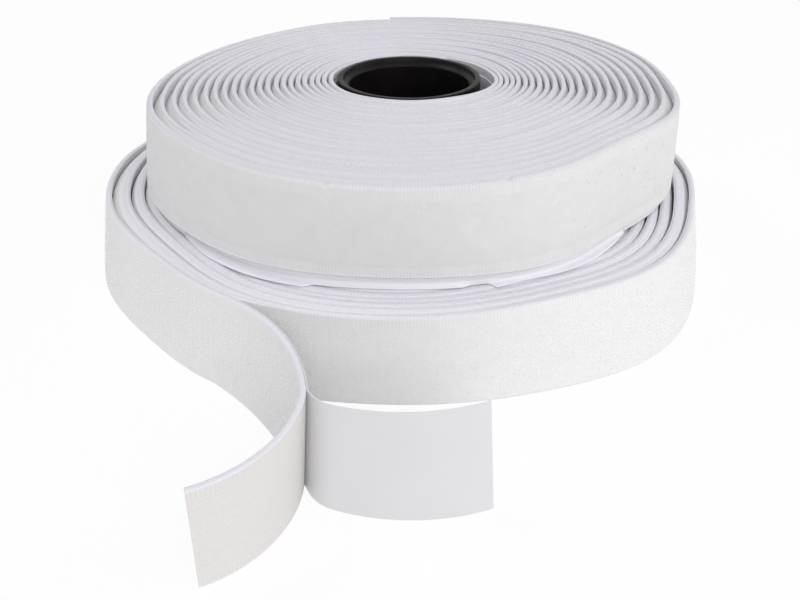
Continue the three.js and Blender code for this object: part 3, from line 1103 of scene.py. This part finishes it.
# %% The hooks of the lower tape
HOOK_COLUMN_PITCH = 1.5
HOOK_ROW_PITCH = 0.85
HOOK_ROW_SHIFT = 0.35
HOOK_FILAMENT_RADIUS = 0.09
HOOK_HEIGHT = 0.14
HOOK_CURL_RADIUS = 0.1
HOOK_ROOT = 0.05
HOOK_SIZES = (0.75, 1.05)
HOOK_PROUD_COLUMN = 4
HOOK_PROUD_SIZE = 1.05
HOOK_MARGIN = 2.3
HOOK_END_MARGIN = 1
HOOK_TURNS_COVERED = 0.985
HOOK_STRAY_ALONG = 0.15
HOOK_STRAY_UP = 0.05
HOOK_STRAY_TURN = 0.25

curl = np.radians([180, 90, 0])
curl_out = HOOK_HEIGHT - HOOK_CURL_RADIUS + HOOK_CURL_RADIUS * np.sin(curl)
curl_spine = np.column_stack([HOOK_CURL_RADIUS * (1 + np.cos(curl)), curl_out, np.zeros(3)])
hook_spine = np.concatenate([[[0, -HOOK_ROOT, 0]], curl_spine])
hook_shape = filament_shape(hook_spine, HOOK_FILAMENT_RADIUS, sides=5)


def hooks(name, route, first, last, seed):
    """A field of hooks on a strip's outer face, spread evenly between two lengths along it.
    Each place is a column and a row, moved a little at random, and every fourth column
    stands a little prouder."""
    random = np.random.default_rng(seed)
    count = round((last - first) / HOOK_COLUMN_PITCH)
    columns = first + (np.arange(count) + 0.5) * (last - first) / count
    rows = np.arange(HOOK_MARGIN, TAPE_WIDTH - HOOK_MARGIN, HOOK_ROW_PITCH)
    along, height = (values.ravel() for values in np.meshgrid(columns, rows, indexing="ij"))
    row = np.tile(np.arange(len(rows)), len(columns))
    column = np.repeat(np.arange(len(columns)), len(rows))
    along = along + random.normal(0, HOOK_STRAY_ALONG, along.size) + HOOK_ROW_SHIFT * (row % 2 - 0.5)
    height = height + random.normal(0, HOOK_STRAY_UP, along.size)
    turns = np.where(row % 2, np.pi, 0) + random.normal(0, HOOK_STRAY_TURN, along.size)
    sizes = random.uniform(*HOOK_SIZES, along.size)
    sizes *= np.where(column % HOOK_PROUD_COLUMN, 1, HOOK_PROUD_SIZE)
    piece = filaments(name, hook_shape, route, 0, along, height, turns, sizes, hook_filament_painted_light)
    return piece


turn_start = np.interp(HOOK_TURNS - HOOK_TURNS_COVERED, hook_route.turns, hook_route.along)
half_length = tape_route.along[half_leg]
end_length = tape_route.along[-1] - HOOK_END_MARGIN
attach(hooks("hooks_on_roll", hook_route, turn_start, hook_route.along[-1], seed=11), "hook_roll")
bend(hooks("hooks_on_leg", tape_route, 0, half_length, seed=12), *SWING)
bend(hooks("hooks_on_peeled_end", tape_route, half_length, end_length, seed=13), *TAPE_BEND)

# %% [markdown]
# ## The pile
# The face of the upper tape is brushed into a dense nap of tiny tangled loops. Millions of
# threads would be too many to model, and a bump alone would leave the face flat. So the
# nap is a fine sheet over the outer turn with soft lumps in its shape, and single threads
# stand out of it here and there. They are thicker than real ones, so that they show.

# %% The nap of the upper tape
NAP_STEP = 0.36
NAP_MARGIN = 2.2
NAP_PROUD = 0.05
NAP_SUNK = 0.3
NAP_EDGE_SLOPE = 4
NAP_FINE_LUMPS = 0.012
NAP_COARSE_LUMPS = 0.02
NAP_TURNS_COVERED = 0.998


def lumps(rows, columns, passes, seed):
    """Random numbers on a grid, averaged with their neighbours on both sides a number of
    times, first along and then across, and scaled to a standard deviation of one."""
    field = np.random.default_rng(seed).normal(size=(rows, columns))
    for _ in range(passes):
        field = (field + np.roll(field, 1, axis=0) + np.roll(field, -1, axis=0)) / 3
        field = (field + np.roll(field, 1, axis=1) + np.roll(field, -1, axis=1)) / 3
    return field / field.std()


nap_first = np.interp(LOOP_TURNS - NAP_TURNS_COVERED, loop_route.turns, loop_route.along)
nap_last = loop_route.along[-1]
nap_route = at_lengths(loop_route, np.arange(nap_first, nap_last, NAP_STEP))
nap_heights = np.arange(NAP_MARGIN, TAPE_WIDTH - NAP_MARGIN, NAP_STEP)
nap_inside = np.minimum(1, np.sin(np.linspace(0, np.pi, len(nap_heights))) * NAP_EDGE_SLOPE)
whole, none = np.ones(len(nap_heights)), np.zeros(len(nap_heights))
nap_face = np.column_stack([NAP_PROUD * (2 * nap_inside - 1), nap_heights, whole, none])
nap_back = [(-NAP_SUNK, nap_heights[-1], 1, 0), (-NAP_SUNK, nap_heights[0], 1, 0)]
nap_outline = np.concatenate([nap_face, nap_back])
nap_grid = (len(nap_route.along), len(nap_heights))
nap_relief = NAP_FINE_LUMPS * lumps(*nap_grid, passes=1, seed=31)
nap_relief += NAP_COARSE_LUMPS * lumps(*nap_grid, passes=8, seed=32)
nap_relief = np.pad(nap_relief * nap_inside, [(0, 0), (0, len(nap_back))])
nap = strip("loop_nap", nap_route, nap_outline, LOOP_BASE, loop_nap, nap_relief)
belongs(nap, "loop_pack")

# %% The single threads of the upper tape
PILE_LOOPS_PER_MM2 = 0.7
PILE_FILAMENT_RADIUS = 0.03
PILE_HEIGHT = 0.04
PILE_ROOT = 0.05
PILE_SPREAD = 0.7
PILE_TWIST = 0.1
PILE_SIZES = (0.6, 1.2)
PILE_MARGIN = 2.4

arch = np.linspace(0, np.pi, 5)
arch_out = (PILE_HEIGHT + PILE_ROOT) * np.sin(arch) - PILE_ROOT
pile_spine = np.column_stack(
    [PILE_SPREAD / 2 * (1 - np.cos(arch)), arch_out, PILE_TWIST * np.sin(2 * arch)]
)
pile_shape = filament_shape(pile_spine, PILE_FILAMENT_RADIUS)

random = np.random.default_rng(21)
pile_loops = int((nap_last - nap_first) * (TAPE_WIDTH - 2 * PILE_MARGIN) * PILE_LOOPS_PER_MM2)
along = random.uniform(nap_first, nap_last, pile_loops)
height = random.uniform(PILE_MARGIN, TAPE_WIDTH - PILE_MARGIN, pile_loops)
turns = random.uniform(0, TURN, pile_loops)
sizes = random.uniform(*PILE_SIZES, pile_loops)
pile = filaments(
    "loop_pile_1", pile_shape, loop_route, LOOP_BASE, along, height, turns, sizes, pile_filament_painted_light
)
belongs(pile, "loop_pack")

# %% [markdown]
# ## Stage and light
# A pale floor carries the shadow. Camera rays see it nearly white whatever the lamps do.
# The light on the rolls is soft: a broad lamp high up at the front right does most of it,
# weaker ones stand at the upper left, the front left and the right, and the world fills
# in the rest.

# %% The floor
FLOOR_SIZE = 4.0
FLOOR_DROP = 0.05
FLOOR_SHADOW_SHARE = 0.12


def seen_rays(tree):
    """One for rays that show the floor or the world as it looks: those from the camera,
    off a gloss and through glass."""
    rays = add_node(tree, "LightPath").outputs
    seen = {0: rays["Is Camera Ray"], 1: rays["Is Glossy Ray"]}
    seen = {0: add_node(tree, "Math", seen, operation="MAXIMUM"), 1: rays["Is Transmission Ray"]}
    return add_node(tree, "Math", seen, operation="MAXIMUM")


def pale_floor(tree):
    """White paint for the light that falls on it, and nearly a plain white for rays that
    show it, with only a share of its shadow."""
    paint = add_node(tree, "BsdfDiffuse", {"Color": linear("#f8f8f8")})
    seen_paint = add_node(tree, "BsdfDiffuse", {"Color": linear("#ffffff")})
    glow = add_node(tree, "Emission", {"Color": linear("#ffffff"), "Strength": 1})
    white = add_node(tree, "MixShader", {0: FLOOR_SHADOW_SHARE, 1: glow, 2: seen_paint})
    return add_node(tree, "MixShader", {0: seen_rays(tree), 1: paint, 2: white})


reach = FLOOR_SIZE / 2
floor_corners = [(-reach, -reach, 0), (reach, -reach, 0), (reach, reach, 0), (-reach, reach, 0)]
floor_mesh = bpy.data.meshes.new("floor")
floor_mesh.from_pydata(floor_corners, [], [(0, 1, 2, 3)])
floor_mesh.materials.append(new_material("pale_floor", pale_floor))
floor = placed("floor", floor_mesh)
floor.location = (0, 0, -FLOOR_DROP * MM)
floor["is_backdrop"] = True

# %% The world and the lamps
WORLD_LIGHT = 0.45
world = bpy.data.worlds.new("studio")
world.use_nodes = True
tree = world.node_tree
tree.nodes.clear()
soft = add_node(tree, "Background", {"Color": (0.95, 0.94, 1, 1), "Strength": WORLD_LIGHT})
white = add_node(tree, "Background", {"Color": linear("#ffffff"), "Strength": 1})
choice = add_node(tree, "MixShader", {0: seen_rays(tree), 1: soft, 2: white})
add_node(tree, "OutputWorld", {"Surface": choice})
scene.world = world


def lamp(name, place, size, power, colour):
    """A square area lamp that faces the middle of the rolls."""
    data = bpy.data.lights.new(name, "AREA")
    data.size = size
    data.energy = power
    data.color = colour
    light = placed(name, data)
    light.location = place
    x, y, z = place
    light.rotation_euler = (np.arctan2(np.hypot(x, y), z), 0, np.arctan2(-x, y) + np.pi)
    print(name, "at", place, "with", power, "W")


lamp("key_lamp", (-0.9, 0.35, 1.25), 0.6, 4.2, (1, 0.99, 0.975))
lamp("front_right_lamp", (0.5, -1.3, 1.15), 1.6, 17.2, (1, 0.995, 0.98))
lamp("front_left_lamp", (-0.9, -1.2, 0.6), 1.0, 0.8, (1, 0.995, 0.98))
lamp("right_lamp", (1.3, 0.0, 0.6), 1.0, 3.5, (1, 0.995, 0.98))

# %% Colour management
scene.view_settings.view_transform = "Standard"

# %% Sizes of the solids and of the scene
scene_low, scene_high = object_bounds()
sizes = {"cad": [list(cad_low), list(cad_high)], "scene": [list(scene_low), list(scene_high)]}
print("solids", np.round(np.subtract(cad_high, cad_low) / MM, 1), "mm")
print("scene", np.round(np.subtract(scene_high, scene_low) / MM, 1), "mm")
